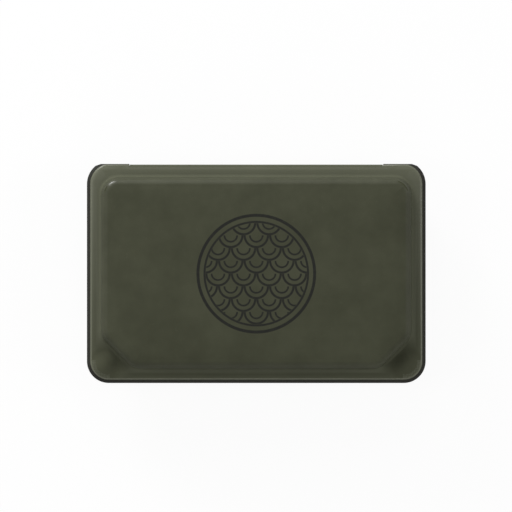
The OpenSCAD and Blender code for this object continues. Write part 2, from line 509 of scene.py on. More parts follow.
@dataclass(frozen=True)
class Medallion:
    """The round print: rows of plain scales inside two rings, in millimetres."""

    scale_r: float = 5.6
    line_w: float = 0.95
    soft: float = 0.12
    field_r: float = 22.2
    rings: tuple[tuple[float, float], ...] = ((22.7, 0.9), (25.6, 1.3))

    def line(self, tree: NodeTree, value: NodeSocket, at: float, width: float) -> NodeSocket:
        """Draws a line of a width where a value is at a number.

        Args:
            tree: The material's tree.
            value: The value.
            at: The number.
            width: The line's width.

        Returns:
            1 on the line and 0 beside it.
        """
        off = add(tree, "Math", {0: value, 1: at}, operation="SUBTRACT").outputs[0]
        off = add(tree, "Math", {0: off}, operation="ABSOLUTE").outputs[0]
        ends = {"From Min": width / 2 - self.soft, "From Max": width / 2 + self.soft}
        return add(tree, "MapRange", {"Value": off, **ends, "To Min": 1.0, "To Max": 0.0}).outputs[0]

    def draw(self, tree: NodeTree, place: NodeSocket) -> NodeSocket:
        """Draws the print.

        Args:
            tree: The material's tree.
            place: The place on the piece in millimetres.

        Returns:
            How much ink there is.
        """
        flat = add(tree, "VectorMath", {0: place, 1: (1.0, 1.0, 0.0)}, operation="MULTIPLY").outputs[0]
        parts = add(tree, "SeparateXYZ", {0: place}).outputs
        reach = add(tree, "VectorMath", {0: flat}, operation="LENGTH").outputs["Value"]
        rows = add(tree, "Math", {0: parts["Y"], 1: self.scale_r}, operation="DIVIDE").outputs[0]
        row = add(tree, "Math", {0: rows}, operation="FLOOR").outputs[0]
        below = add(tree, "Math", {0: row, 1: rows}, operation="SUBTRACT").outputs[0]
        scaled = {1: self.scale_r, 2: self.scale_r}
        down = add(tree, "Math", {0: below, **scaled}, operation="MULTIPLY_ADD").outputs[0]
        odd = add(tree, "Math", {0: row, 1: 1.0}, operation="PINGPONG").outputs[0]
        shifted = {0: odd, 1: self.scale_r, 2: parts["X"]}
        across = add(tree, "Math", shifted, operation="MULTIPLY_ADD").outputs[0]
        across = add(tree, "Math", {0: across, 1: self.scale_r}, operation="PINGPONG").outputs[0]
        spot = add(tree, "CombineXYZ", {"X": across, "Y": down}).outputs[0]
        scale = add(tree, "VectorMath", {0: spot}, operation="LENGTH").outputs["Value"]
        outer = self.line(tree, scale, self.scale_r - self.line_w / 2, self.line_w)
        inner = self.line(tree, scale, 0.5 * self.scale_r, 0.8 * self.line_w)
        ink = add(tree, "Math", {0: outer, 1: inner}, operation="MAXIMUM").outputs[0]
        ends = {"From Min": self.field_r - self.soft, "From Max": self.field_r + self.soft}
        field = {"Value": reach, **ends, "To Min": 1.0, "To Max": 0.0}
        inside = add(tree, "MapRange", field).outputs[0]
        ink = add(tree, "Math", {0: ink, 1: inside}, operation="MULTIPLY").outputs[0]
        for radius, width in self.rings:
            ring = self.line(tree, reach, radius, width)
            ink = add(tree, "Math", {0: ink, 1: ring}, operation="MAXIMUM").outputs[0]
        patch = add(tree, "TexNoise", {"Vector": place, "Scale": 1.1, "Detail": 2.0}).outputs["Fac"]
        ends = {"From Min": 0.3, "From Max": 0.5, "To Min": 0.86}
        dense = add(tree, "MapRange", {"Value": patch, **ends}).outputs[0]
        return add(tree, "Math", {0: ink, 1: dense}, operation="MULTIPLY").outputs[0]


@dataclass(frozen=True)
class CoatedSkin(Finish):
    """Polyurethane-coated knit, pressed hot over the foam: matt, with a fine leather-like
    grain that softens highlights, cloudy in tone, paler where its edge turns down and is worn,
    painted paler across the flat rim as painted light against the shade beside the wall, and
    glossier where hands have rubbed it."""

    wear_and_painted_light: str = "#646656"
    shade: str = "#343625"
    matt: float = 0.9
    gloss_range: float = 0.08
    ink: str = ""
    grain_mm: float = 0.5
    cloud_mm: float = 14.0
    speck_mm: float = 1.4
    relief: float = 0.35
    relief_mm: float = 0.04

    def draw(self, tree: NodeTree, place: NodeSocket) -> dict[str, Any]:
        """Draws the tone, the worn edge and the painted light on the rim, the print if there is ink, the
        gloss and the grain.
        """
        cloud, speck = (
            add(tree, "TexNoise", {"Vector": place, **grain}).outputs["Fac"] for grain in (
                {"Scale": 1 / self.cloud_mm, "Detail": 3.0, "Roughness": 0.6},
                {"Scale": 1 / self.speck_mm, "Detail": 2.0, "Roughness": 0.7},
            )
        )
        edge, rubbed = (
            add(tree, "Attribute", attribute_name=name).outputs["Fac"] for name in ("wear_and_painted_light", "rubbed")
        )
        shaded, flecked, gloss = (
            add(tree, "MapRange", ends).outputs[0] for ends in (
                {"Value": cloud, "From Min": 0.33, "From Max": 0.67, "To Min": 0.8, "To Max": 0.0},
                {"Value": speck, "From Min": 0.66, "From Max": 0.85, "To Max": 0.15},
                {"Value": rubbed, "To Min": self.matt, "To Max": self.roughness},
            )
        )
        clouded = {0: cloud, 1: self.gloss_range, 2: gloss}
        gloss = add(tree, "Math", clouded, operation="MULTIPLY_ADD").outputs[0]
        # The rim attribute paints the rim paler: a worn pale edge, and painted light across the flat rim
        # against the shade beside the wall.
        coats = [(shaded, self.shade), (flecked, self.wear_and_painted_light), (edge, self.wear_and_painted_light)]
        if self.ink:
            coats.append((Medallion().draw(tree, place), self.ink))
        body = srgb(self.colour)
        for amount, colour in coats:
            tones = {"Factor": amount, 6: body, 7: srgb(colour)}
            body = add(tree, "Mix", tones, data_type="RGBA").outputs[2]
        cells = {"Vector": place, "Scale": 1 / self.grain_mm, "Randomness": 1.0}
        grain = add(tree, "TexVoronoi", cells, feature="SMOOTH_F1").outputs["Distance"]
        fine = add(tree, "TexNoise", {"Vector": place, "Scale": 6.0, "Detail": 2.0}).outputs["Fac"]
        height = add(tree, "Math", {0: grain, 1: fine}, operation="ADD").outputs[0]
        return {
            "Height": height, "Base Color": body, "Roughness": gloss, "Specular IOR Level": 0.3,
        }


@dataclass(frozen=True)
class CutFoam(Finish):
    """Closed-cell ethylene-vinyl acetate foam, die cut: a dull edge of fine open cells."""

    painted_light_on_cell_rims: str = "#33332e"
    cell_mm: float = 0.35

    def draw(self, tree: NodeTree, place: NodeSocket) -> dict[str, Any]:
        """Draws the cells, with their rims painted paler than their pits: painted shade in the pits."""
        cells = add(tree, "TexVoronoi", {"Vector": place, "Scale": 1 / self.cell_mm}, feature="F1")
        cells = cells.outputs["Distance"]
        # Painted shade: the pits of the cut cells are painted darker than their rims.
        rims = add(tree, "MapRange", {"Value": cells, "From Min": 0.2, "From Max": 0.7}).outputs[0]
        tones = {"Factor": rims, 6: srgb(self.colour), 7: srgb(self.painted_light_on_cell_rims)}
        body = add(tree, "Mix", tones, data_type="RGBA").outputs[2]
        return {"Height": cells, "Base Color": body, "Specular IOR Level": 0.15}


@dataclass(frozen=True)
class BrushedKnit(Finish):
    """Brushed polyester knit bonded to the foam: rows of small loops under a soft nap."""

    painted_light_on_loops: str = "#4a4b46"
    wale_mm: float = 0.9
    course_mm: float = 0.72

    def draw(self, tree: NodeTree, place: NodeSocket) -> dict[str, Any]:
        """Draws the loops and the nap, and paints the higher loops and nap paler than the gaps between them:
        painted light and shade.
        """
        parts = add(tree, "SeparateXYZ", {0: place}).outputs
        rise = add(tree, "Math", {0: parts["Y"], 1: parts["Z"]}, operation="ADD").outputs[0]
        waves = []
        for run, pitch in ((parts["X"], self.wale_mm), (rise, self.course_mm)):
            turn = add(tree, "Math", {0: run, 1: 2 * math.pi / pitch}, operation="MULTIPLY").outputs[0]
            waves.append(add(tree, "Math", {0: turn}, operation="SINE").outputs[0])
        loops = add(tree, "Math", {0: waves[0], 1: waves[1]}, operation="MULTIPLY").outputs[0]
        nap_grain = {"Scale": 4.0, "Detail": 4.0, "Roughness": 0.75}
        fuzz = add(tree, "TexNoise", {"Vector": place, **nap_grain}).outputs["Fac"]
        height = add(tree, "Math", {0: fuzz, 1: 2.4, 2: loops}, operation="MULTIPLY_ADD").outputs[0]
        # Painted light: the higher loops and nap are painted paler, the gaps between them darker.
        ends = {"From Min": 0.6, "From Max": 2.6, "To Max": 0.55}
        lit = add(tree, "MapRange", {"Value": height, **ends}).outputs[0]
        tones = {"Factor": lit, 6: srgb(self.colour), 7: srgb(self.painted_light_on_loops)}
        body = add(tree, "Mix", tones, data_type="RGBA").outputs[2]
        return {
            "Height": height, "Base Color": body, "Sheen Weight": 0.25, "Sheen Roughness": 0.5,
        }


@dataclass(frozen=True)
class SlitFoam(Finish):
    """Cross-linked polyethylene foam, moulded and slit: pale, chalky, with tiny cells."""

    dark: str = "#a09f95"
    cell_mm: float = 0.55
    relief: float = 0.4

    def draw(self, tree: NodeTree, place: NodeSocket) -> dict[str, Any]:
        """Draws the cells under a cloudy tone."""
        cells = {"Vector": place, "Scale": 1 / self.cell_mm}
        cells = add(tree, "TexVoronoi", cells, feature="SMOOTH_F1").outputs["Distance"]
        cloud = add(tree, "TexNoise", {"Vector": place, "Scale": 0.12, "Detail": 3.0}).outputs["Fac"]
        mixed = add(tree, "Math", {0: cells, 1: cloud}, operation="MULTIPLY").outputs[0]
        ends = {"From Min": 0.12, "From Max": 0.4, "To Max": 0.6}
        tone = add(tree, "MapRange", {"Value": mixed, **ends}).outputs[0]
        tones = {"Factor": tone, 6: srgb(self.colour), 7: srgb(self.dark)}
        body = add(tree, "Mix", tones, data_type="RGBA").outputs[2]
        return {"Height": cells, "Base Color": body, "Subsurface Weight": 0.05}


@dataclass(frozen=True)
class NickelPlate(Finish):
    """Nickel-plated neodymium, tumbled before plating: bright, faintly scuffed metal."""

    scuffed: float = 0.2
    relief: float = 0.15
    relief_mm: float = 0.02

    def draw(self, tree: NodeTree, place: NodeSocket) -> dict[str, Any]:
        """Draws the scuffs."""
        scuff_grain = {"Scale": 2.5, "Detail": 5.0, "Roughness": 0.7}
        scuff = add(tree, "TexNoise", {"Vector": place, **scuff_grain}).outputs["Fac"]
        ends = {
            "From Min": 0.35, "From Max": 0.7,
            "To Min": self.roughness, "To Max": self.roughness + self.scuffed,
        }
        rough = add(tree, "MapRange", {"Value": scuff, **ends}).outputs[0]
        return {"Height": scuff, "Roughness": rough, "Metallic": 1.0}


class Materials:
    """The finishes of the case, made once."""

    def __init__(self) -> None:
        """Makes the materials."""
        olive, rubbed = "#3e402f", 0.22
        self.skin = CoatedSkin("polyurethane_coated_knit", olive, rubbed).build()
        self.printed_skin = CoatedSkin(
            "polyurethane_coated_knit_printed", olive, rubbed, ink="#151611",
        ).build()
        self.core = CutFoam("die_cut_eva_foam", "#22221e", 0.8).build()
        self.lining = BrushedKnit("brushed_polyester_knit", "#1c1d1b", 0.9).build()
        self.foam = SlitFoam("moulded_polyethylene_foam", "#b9b8ae", 0.85).build()
        self.magnet = NickelPlate("nickel_plated_neodymium", "#c9c7c0", 0.22).build()


# ---- The pressed shells --------------------------------------------------------------------


@dataclass(frozen=True)
class RimLine:
    """One line round the trimmed edge: how far in, how high, how far back at the corners,
    how pale from wear and from painted light, and where it crosses the hinge if not where its layer ends."""

    inset: float
    height: float
    back: float
    wear_and_painted_light: float = 0.0
    hinge: float | None = None


@dataclass(frozen=True)
class Face:
    """One face of a layer: its depth below the outer face, its fullness, and how fine it is."""

    depth: float
    crown: float = 0.0
    divided: bool = False


@dataclass(frozen=True)
class Layer:
    """A layer of the pressed shell: its two faces, its trimmed edge, where it ends at the
    hinge, and the magnets' pockets or holes in it."""

    outer: Face
    inner: Face
    edge: tuple[RimLine, ...]
    hinge_y: float
    pocket: float = 0.0
    through: bool = False


@dataclass(frozen=True)
class PressedShell:
    """The pressed sheet of one half: coated skin, foam core and knitted lining."""

    half: Half
    materials: Materials
    arc_step: float = 5.0
    shoulder_steps: int = 12
    foot_steps: int = 6
    crown_shares: tuple[float, ...] = (0.8, 0.5, 0.2)
    swell_r: float = 6.6
    swell_h: float = 1.2
    lift_top: float = 1.5
    rim_sag: float = 0.02
    pad_margin: float = 0.3
    pad_grid: float = 0.7
    back_cuts: tuple[float, ...] = (45.6, 46.0, 46.65, 47.0)
    crown_cuts: tuple[float, ...] = (
        1.0, 2.0, 3.1, 4.3, 5.7, 7.4, 9.5, 12.0, 15.2, 19.2, 24.0, 30.0, 38.0, 48.0,
    )
    crown_fade: float = 3.6
    crown_broad: float = 0.25
    crown_reach: float = 38.0
    # How much paler the flat rim and the finger corners' swellings are painted: painted light against the
    # shade beside the wall.
    rim_painted_light: float = 0.62
    pad_painted_light: float = 0.2
    pad_fade: float = 6.0
    rubbed_from: float = 1.5

    @property
    def layers(self) -> dict[str, Layer]:
        """The three layers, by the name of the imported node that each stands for."""
        s = SIZES
        skin_edge = (
            RimLine(3.7, s.rim_top, 46.4, 0.66, hinge=46.4),
            RimLine(3.25, 2.949, 46.85, 0.66, hinge=46.85),
            RimLine(2.85, 2.947, 47.22, 0.7),
            RimLine(2.6, 2.945, 47.35, 0.72),
            RimLine(2.35, 2.936, 47.62, 0.78),
            RimLine(2.02, 2.88, 47.85, 0.9),
            RimLine(1.74, 2.7, 48.05, 0.9),
            RimLine(s.trim_lean, 2.35, 48.2, 0.3),
        )
        core_edge = (
            RimLine(2.85, 2.35, 47.22), RimLine(s.trim_lean, 2.346, 48.2),
            RimLine(0.6, 1.35, 48.5), RimLine(0.0, 0.55, 47.7),
        )
        lining_edge = (
            RimLine(0.0, 0.55, 47.7), RimLine(0.02, 0.3, 47.45), RimLine(0.15, s.rim_bottom, 47.3),
        )
        under_skin, under_core = s.skin_t, s.skin_t + s.core_t
        return {
            "skin": Layer(
                Face(0.0, crown=0.8, divided=True), Face(under_skin, crown=0.7, divided=True),
                skin_edge, s.fold_y - s.crease_gap,
            ),
            "core": Layer(
                Face(under_skin, crown=0.7, divided=True), Face(under_core), core_edge, s.groove_y,
                pocket=s.rim_bottom + s.magnet_sunk + s.magnet_t,
            ),
            "lining": Layer(
                Face(under_core), Face(s.laminate_t), lining_edge, s.groove_y, through=True,
            ),
        }

    @property
    def centres(self) -> list[Vector]:
        """Centres of the walls' corners in plan, anticlockwise from the front left."""
        s = SIZES
        x = s.width / 2 - s.rim_w - s.wall_r
        front = -s.depth / 2 + s.rim_w + s.wall_r
        back = s.spine_back - s.rim_back - s.wall_r
        points = [
            (s.finger_cut - x, front), (x - s.finger_cut, front), (x, front + s.finger_cut),
            (x, back), (-x, back), (-x, front + s.finger_cut),
        ]
        return [Vector(p) for p in points]

    @property
    def middle(self) -> float:
        """Place along the depth of the middle between the walls."""
        return (self.centres[0].y + self.centres[3].y) / 2

    def normals(self, index: int) -> tuple[float, float]:
        """Directions, in plan, that the walls before and after a corner face, in degrees."""
        centres = self.centres
        centre, after = centres[index], centres[(index + 1) % len(centres)]
        into, out = centre - centres[index - 1], after - centre
        return tuple(math.degrees(math.atan2(way.y, way.x)) - 90 for way in (into, out))

    def wall_corners(self, reach: float) -> list[Corner]:
        """The corners of the walls' plan.

        Args:
            reach: Distance of the plan from the corners' centres.

        Returns:
            The corners, anticlockwise.
        """
        corners = []
        for i, centre in enumerate(self.centres):
            start, end = self.normals(i)
            turn = (end - start) % 360
            steps = round(turn / self.arc_step)
            corners.append(Corner(centre.x, centre.y, reach, start, turn, steps))
        return corners

    def rim_corners(self, line: RimLine, hinge_y: float) -> list[Corner]:
        """The corners of the trimmed outline.

        Args:
            line: The line round the edge.
            hinge_y: Where the layer ends at the hinge.

        Returns:
            The corners, anticlockwise from the front left.
        """
        s, steps = SIZES, round(90 / self.arc_step)
        x, y = s.width / 2 - s.front_r, -s.depth / 2 + s.front_r
        back_x, back_y = s.width / 2 - s.back_r, s.depth / 2 + s.back_cut - s.back_r
        front_r, back_r = s.front_r - line.inset, s.back_r - line.inset
        turn = math.degrees(math.asin((line.back - back_y) / back_r))
        notch, end, back_steps = s.hinge_w / 2 + s.hinge_gap, s.hinge_w / 2, steps - 4
        hinge_y = line.hinge or hinge_y
        return [
            Corner(-x, y, front_r, 180, 90, steps), Corner(x, y, front_r, 270, 90, steps),
            Corner(back_x, back_y, back_r, 0, turn, back_steps),
            Corner(notch, line.back), Corner(end, hinge_y),
            Corner(-end, hinge_y), Corner(-notch, line.back),
            Corner(-back_x, back_y, back_r, 180 - turn, turn, back_steps),
        ]

    def section(self, depth: float) -> list[Vector]:
        """The section of the wall at a depth below the outer face.

        Args:
            depth: That depth.

        Returns:
            Points of reach and height, from the wall's foot to the edge of the crown.
        """
        s, points = SIZES, []
        for centre, radius, start, end, steps in (
            (s.foot, s.foot_r + depth, 270, 180 + s.draft, self.foot_steps),
            (s.shoulder, s.shoulder_r - depth, s.draft, 90, self.shoulder_steps),
        ):
            for i in range(steps + 1):
                a = math.radians(start + (end - start) * i / steps)
                points.append(centre + radius * Vector((math.cos(a), math.sin(a))))
        return points + [Vector((s.shoulder.x * k, s.half_h - depth)) for k in self.crown_shares]

    def build_layer(self, layer: Layer) -> BMesh:
        """Makes one layer as a closed form.

        Args:
            layer: The layer.

        Returns:
            Its mesh, in the half's frame.
        """
        bm = bmesh.new()
        wear_and_painted_light, rubbed = (bm.verts.layers.float.new(name) for name in ("wear_and_painted_light", "rubbed"))
        rings = []
        for line in layer.edge:
            rings.append(closed_ring(bm, self.rim_corners(line, layer.hinge_y), line.height))
            # Each rim line gets its paleness: the worn edge, and painted light on the flat rim inside it.
            for vert in rings[-1].verts:
                vert[wear_and_painted_light] = vert[rubbed] = line.wear_and_painted_light
        for first, second in zip(rings, rings[1:]):
            bridge(bm, first, second)
        outer_holes = self.holes(bm, layer.outer) if layer.through else []
        inner_holes = self.holes(bm, layer.inner) if layer.through or layer.pocket else []
        self.press(bm, rings[0], layer.outer, outer_holes)
        self.press(bm, rings[-1], layer.inner, inner_holes)
        for vert in bm.verts:
            vert.co.z += self.lift(vert.co)
        for i, hole in enumerate(inner_holes):
            if layer.through:
                bridge(bm, hole, outer_holes[i])
            else:
                floor = self.magnet_ring(bm, list(Side)[i], layer.pocket)
                bridge(bm, hole, floor)
                cap(bm, floor)
        return bm

    def magnet_ring(self, bm: BMesh, side: Side, height: float) -> Ring:
        """A ring round a magnet, with some play."""
        return disc_ring(bm, SIZES.magnet_at(side), SIZES.magnet_r + SIZES.magnet_play, height)

    def holes(self, bm: BMesh, face: Face) -> list[Ring]:
        """Rings of the magnets' holes in a face of a layer, left and right."""
        return [self.magnet_ring(bm, side, SIZES.rim_top - face.depth) for side in Side]

    def press(self, bm: BMesh, rim: Ring, face: Face, holes: list[Ring]) -> None:
        """Fills the rim and raises the walls and the crown of one face of a layer.

        Args:
            bm: The layer's mesh.
            rim: The outline that the face ends at.
            face: The face.
            holes: Loops that stay open in its rim.
        """
        before = set(bm.verts)
        section = self.section(face.depth)
        foot = closed_ring(bm, self.wall_corners(section[0].x), section[0].y)
        loops = rim.edges + foot.edges + [e for hole in holes for e in hole.edges]
        bmesh.ops.triangle_fill(bm, use_beauty=True, edges=loops, normal=(0, 0, 1))
        crown = cap(bm, foot)
        for a, b in zip(section, section[1:]):
            bmesh.ops.inset_region(
                bm, faces=[crown], use_boundary=True, use_even_offset=True,
                thickness=a.x - b.x, depth=b.y - a.y,
            )
        if face.divided:
            self.divide_pads(bm, section[0].y)
            for y in self.back_cuts:
                bisect(bm, self.rim_faces(bm, section[0].y), (0, y, 0), (0, 1, 0))
        if face.crown:
            self.divide_crown(bm, SIZES.half_h - face.depth)
        wear_and_painted_light, rubbed = (bm.verts.layers.float[name] for name in ("wear_and_painted_light", "rubbed"))
        # New points get the rim's painted light and their smoothness, and sink to the crown's fullness.
        for vert in bm.verts:
            if vert not in before:
                vert[wear_and_painted_light], vert[rubbed] = self.painted_rim_light(vert.co, face), self.rub(vert.co, face)
                vert.co.z -= self.sink(vert.co, face)

    def rim_faces(self, bm: BMesh, height: float) -> list[BMFace]:
        """The faces of the rim that lie at a height, or just under it."""
        sag = self.rim_sag
        return [f for f in bm.faces if all(-sag < v.co.z - height < TINY for v in f.verts)]

    def divide_pads(self, bm: BMesh, height: float) -> None:
        """Cuts the rim in the finger corners into a fine grid, for the swellings."""
        magnet, reach = SIZES.magnet_at(Side.RIGHT), self.swell_r + self.pad_margin
        low, high = magnet - Vector((reach, reach)), magnet + Vector((reach, reach))
        for side in Side:
            for x in (low.x, high.x):
                bisect(bm, self.rim_faces(bm, height), (side.value * x, 0, 0), (1, 0, 0))
        bisect(bm, self.rim_faces(bm, height), (0, high.y, 0), (0, 1, 0))

        def pad_faces() -> list[BMFace]:
            """The faces of the rim that the swellings cover."""
            centres = [(f, f.calc_center_median()) for f in self.rim_faces(bm, height)]
            return [f for f, c in centres if low.x < abs(c.x) < high.x and c.y < high.y]

        for side in Side:
            for x in steps_between(low.x, high.x, self.pad_grid):
                bisect(bm, pad_faces(), (side.value * x, 0, 0), (1, 0, 0))
        for y in steps_between(low.y, high.y, self.pad_grid):
            bisect(bm, pad_faces(), (0, y, 0), (0, 1, 0))

    def divide_crown(self, bm: BMesh, height: float) -> None:
        """Cuts the flat crown into a grid, finer towards its sides, so that it can be full."""
        edge = self.centres[3] + Vector((SIZES.shoulder.x, SIZES.shoulder.x))
        for normal, centre, reach in (
            ((1, 0, 0), (0, 0, height), edge.x),
            ((0, 1, 0), (0, self.middle, height), edge.y - self.middle),
        ):
            inward = [reach - d for d in self.crown_cuts if d < reach - 1]
            for away in [*inward, 0.0, *(-a for a in inward)]:
                flat = [f for f in bm.faces if all(abs(v.co.z - height) < TINY for v in f.verts)]
                bisect(bm, flat, Vector(centre) + away * Vector(normal), normal)

    def lift(self, point: Vector) -> float:
        """How far the magnets and the rolled edge move a point of the rim.

        Args:
            point: The point.

        Returns:
            The rise, or the drop if it is negative. The lining's points don't move.
        """
        s = SIZES
        if point.z > s.rim_top + self.lift_top:
            return 0.0
        swelling = self.swell_h * (1 - min(1.0, s.from_magnet(point) / self.swell_r) ** 2) ** 2
        height = (point.z - s.rim_bottom - s.lining_t) / s.core_t
        return min(1.0, max(0.0, height)) * (swelling - s.roll(point.x, point.y))

    def painted_rim_light(self, point: Vector, face: Face) -> float:
        """How much paler a point is painted: painted light that lifts the shade beside the wall, most on the
        flat rim, less on the swellings, none on the wall.
        """
        rise = (point.z + face.depth - SIZES.rim_top) / SIZES.foot_r
        share = min(1.0, max(0.0, SIZES.from_magnet(point) - self.swell_r) / self.pad_fade)
        wear_and_painted_light = self.pad_painted_light + share * (self.rim_painted_light - self.pad_painted_light)
        return wear_and_painted_light * max(0.0, 1.0 - max(0.0, rise))

    def rub(self, point: Vector, face: Face) -> float:
        """How much handling has smoothed a point.

        Args:
            point: The point.
            face: The face that it belongs to.

        Returns:
            The share, from 1 on the corners' shoulders to 0 on the wall.
        """
        corner = self.centres[3]
        past_x = abs(point.x) - corner.x
        past_y = abs(point.y - self.middle) - (corner.y - self.middle)
        most = 0.5 + 0.5 * min(1.0, max(0.0, min(past_x, past_y) / self.rubbed_from))
        stops = ((0.0, 0.3), (0.07, 0.5), (0.15, most), (0.35, most), (0.6, 0.0))
        return blend_stops(stops, (SIZES.half_h - face.depth - point.z) / SIZES.shoulder_r)

    def sink(self, point: Vector, face: Face) -> float:
        """How far a point of a face lies under the height of the crown's middle.

        Args:
            point: The point.
            face: The face that it belongs to.

        Returns:
            The drop, which is steep near the shoulder and broad in the middle.
        """
        s, centres, place = SIZES, self.centres, Vector((point.x, point.y))
        beyond = []
        for i, centre in enumerate(centres):
            along = (centres[(i + 1) % len(centres)] - centre).normalized()
            beyond.append((place - centre).dot(Vector((along.y, -along.x))))
        inside = max(0.0, s.shoulder.x - max(beyond))
        steep = (1 - self.crown_broad) * math.exp(-inside / self.crown_fade)
        broad = self.crown_broad * max(0.0, 1 - inside / self.crown_reach) ** 2
        rise = max(0.0, (point.z - s.rim_top) / (s.half_h - s.rim_top))
        return face.crown * (steep + broad) * rise

    def build(self) -> None:
        """Makes the three layers."""
        name, looks = self.half.value, self.materials
        skin = looks.printed_skin if self.half is Half.LID else looks.skin
        dressed = {
            "skin": ("coated_skin", skin), "core": ("foam_core", looks.core),
            "lining": ("knit_lining", looks.lining),
        }
        for node, shape in self.layers.items():
            title, look = dressed[node]
            piece = Piece(f"{name}_{title}", name, node, look, (f"{name}_{node}",))
            piece.place(self.build_layer(shape), self.half.placing)


@dataclass(frozen=True)
class Magnets:
    """The two closing magnets of one half: discs with plated, rounded edges."""

    half: Half
    materials: Materials
    edge_r: float = 0.3
    steps: int = 64

    def build(self) -> None:
        """Makes both discs."""
        s, name = SIZES, self.half.value
        for side in Side:
            bm = bmesh.new()
            low = s.rim_bottom + s.magnet_sunk
            disc = cap(bm, disc_ring(bm, s.magnet_at(side), s.magnet_r, low, self.steps))
            extrude(bm, [disc], (0, 0, s.magnet_t))
            rims = [e for e in bm.edges if abs(e.verts[0].co.z - e.verts[1].co.z) < TINY]
            round_edges(bm, rims, self.edge_r, 3)
            which, look = side.name.lower(), self.materials.magnet
            node = f"{name}_magnet_{which}"
            piece = Piece(f"{name}_plated_magnet_{which}", name, "magnet", look, (node,))
            piece.place(bm, self.half.placing)


# ---- The foam inserts ----------------------------------------------------------------------


@dataclass(frozen=True)
class FoamInsert:
    """The foam of one half: a plate with rounded ridges, each slit across many times."""

    half: Half
    materials: Materials
    shell: PressedShell
    gap: float = 0.3
    plate_t: float = 3.0
    lip_r: float = 0.5
    ridge_h: float = 3.5
    foot_w: float = 5.6
    top_w: float = 3.6
    ridge_pitch: float = 9.2
    top_r: float = 0.9
    top_waist: float = 0.55
    least_crest: float = 0.8
    slit_pitch: float = 6.0
    slit_w: float = 0.5
    slit_depth: float = 3.0
    least_tooth: float = 0.6

    @property
    def reach(self) -> float:
        """How far the plate reaches from the centres of the walls' corners."""
        s = SIZES
        wall = s.reach_at(s.wall_line - s.laminate_t, s.half_h - s.laminate_t)
        return wall - (s.shoulder_r - s.laminate_t) - self.gap

    @property
    def plate_low(self) -> float:
        """Height of the plate's face, which looks to the closing plane."""
        return SIZES.half_h - SIZES.laminate_t - self.plate_t

    @property
    def slit_rise(self) -> float:
        """Rise of the slits' floors above the plate's face."""
        return self.ridge_h - self.slit_depth

    def bar(self, bm: BMesh, place: Vector, length: float, low: float, high: float) -> list[BMFace]:
        """Makes a tapered bar of a ridge between two rises.

        Args:
            bm: The insert's mesh.
            place: Middle of the bar in plan.
            length: Its length along the ridge.
            low: Rise of its foot above the plate's face.
            high: Rise of its top.

        Returns:
            Its faces.
        """
        made = bmesh.ops.create_cube(bm, size=1.0)["verts"]
        taper = (self.foot_w - self.top_w) / (self.ridge_h - self.top_r)
        tapered = self.ridge_h - self.top_waist * self.top_r
        for vert in made:
            rise = low if vert.co.z > 0 else high
            width = self.foot_w - min(rise, tapered) * taper
            vert.co = (place.x + vert.co.x * length, place.y + vert.co.y * width, self.plate_low - rise)
        return whole(made[0])

    def soften(self, bm: BMesh, faces: list[BMFace]) -> list[BMFace]:
        """Rounds the top of a bar along the ridge, and returns the bar's faces."""
        top = min(v.co.z for f in faces for v in f.verts)
        edges = {e for f in faces for e in f.edges}
        crest = [e for e in edges if all(v.co.z < top + MERGE for v in e.verts)]
        along = [e for e in crest if abs(e.verts[0].co.x - e.verts[1].co.x) > self.least_crest]
        round_edges(bm, along, self.top_r, 4)
        return whole(next(f for f in faces if f.is_valid).verts[0])

    def trim(self, bm: BMesh, faces: list[BMFace]) -> None:
        """Cuts a bar at the plate's sides."""
        seed = min((v for f in faces for v in f.verts), key=lambda v: abs(v.co.x))
        for i, centre in enumerate(self.shell.centres):
            start, end = self.shell.normals(i)
            for turn in (0.0, 0.5):
                angle = math.radians(start + (end - start) % 360 * turn)
                normal = Vector((math.cos(angle), math.sin(angle), 0))
                point = Vector((centre.x, centre.y, 0)) + normal * self.reach
                faces = whole(seed)
                verts = {v for f in faces for v in f.verts}
                if any((v.co - point).dot(normal) > MERGE for v in verts):
                    seed = min(verts, key=lambda v: (v.co - point).dot(normal))
                    cut_off(bm, faces, point, normal)
                    if not seed.is_valid:
                        return

    def limit(self, y: float) -> float:
        """How far from the middle the plate reaches along a ridge."""
        centres = self.shell.centres
        slope = centres[1] + Vector((1, -1)).normalized() * self.reach
        return min(centres[3].x + self.reach, slope.x + (y - self.foot_w / 2 - slope.y))

    def ridge(self, bm: BMesh, y: float) -> None:
        """Makes the foot of one ridge and the teeth between its slits."""
        side = self.shell.centres[3].x
        self.trim(bm, self.bar(bm, Vector((0, y)), 2 * side + 4 * self.reach, 0.0, self.slit_rise))
        slits = math.floor(2 * side / self.slit_pitch)
        for i in range(slits + 2):
            low = (i - 1 - slits / 2) * self.slit_pitch + self.slit_w / 2
            high = (i - slits / 2) * self.slit_pitch - self.slit_w / 2
            if low * high > 0 and min(abs(low), abs(high)) > self.limit(y) - self.least_tooth:
                continue
            place = Vector(((low + high) / 2, y))
            tooth = self.bar(bm, place, high - low, self.slit_rise, self.ridge_h)
            self.trim(bm, self.soften(bm, tooth))

    def build(self) -> None:
        """Makes the plate and its ridges."""
        bm, centres, name = bmesh.new(), self.shell.centres, self.half.value
        plate = cap(bm, closed_ring(bm, self.shell.wall_corners(self.reach), self.plate_low))
        extrude(bm, [plate], (0, 0, self.plate_t))
        lip = [e for e in bm.edges if all(abs(v.co.z - self.plate_low) < TINY for v in e.verts)]
        round_edges(bm, lip, self.lip_r, 3)
        depth = centres[3].y - centres[0].y + 2 * self.reach
        ridges = math.floor((depth - self.foot_w) / self.ridge_pitch) + 1
        for row in range(ridges):
            self.ridge(bm, self.shell.middle + (row - (ridges - 1) / 2) * self.ridge_pitch)
        look, node = self.materials.foam, f"{name}_foam"
        Piece(f"{name}_slit_foam", name, "slit_foam", look, (node,), padded=1.0).place(bm, self.half.placing)


# ---- The folding spine ---------------------------------------------------------------------


